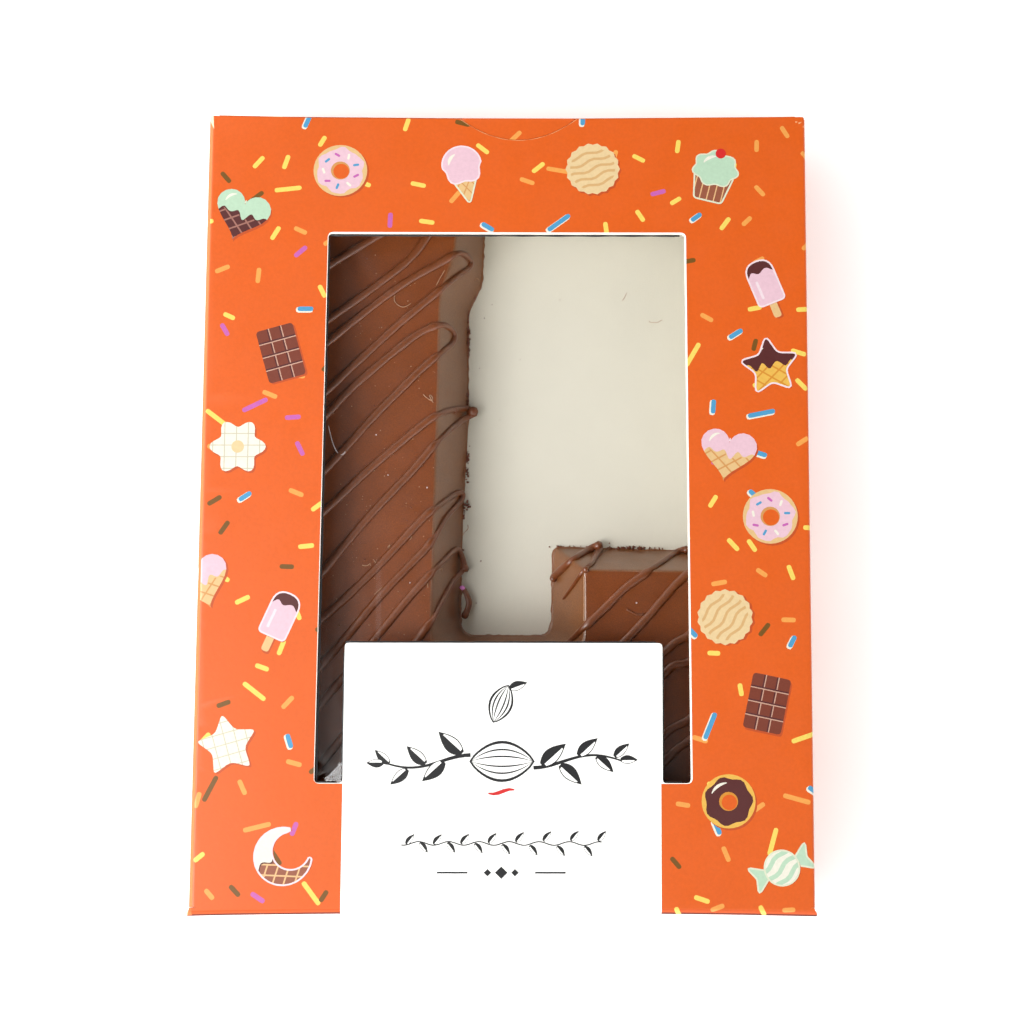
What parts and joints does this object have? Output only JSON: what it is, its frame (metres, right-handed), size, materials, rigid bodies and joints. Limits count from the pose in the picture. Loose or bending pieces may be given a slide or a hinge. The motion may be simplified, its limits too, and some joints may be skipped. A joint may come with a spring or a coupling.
{
  "type": "boxed chocolate letter",
  "caption": "Slab-serif chocolate letter L with drizzle, lying in a shut folding carton whose front has a film window with a tongue rising into it.",
  "frame": {"origin": "centre of the carton's back, on the plane it lies on", "axes": "+X across the front to the reader's right, +Y up the front towards the lid, +Z out of the window"},
  "size_m": [0.1186, 0.1562, 0.021],
  "materials": {
    "board": "printed and varnished folding boxboard, satin",
    "film": "clear glossy film",
    "chocolate": "tempered milk chocolate, satin"
  },
  "bodies": {
    "root": {"carton": "board", "window_film": "film", "chocolate_letter": "chocolate"}
  },
  "joints": []
}
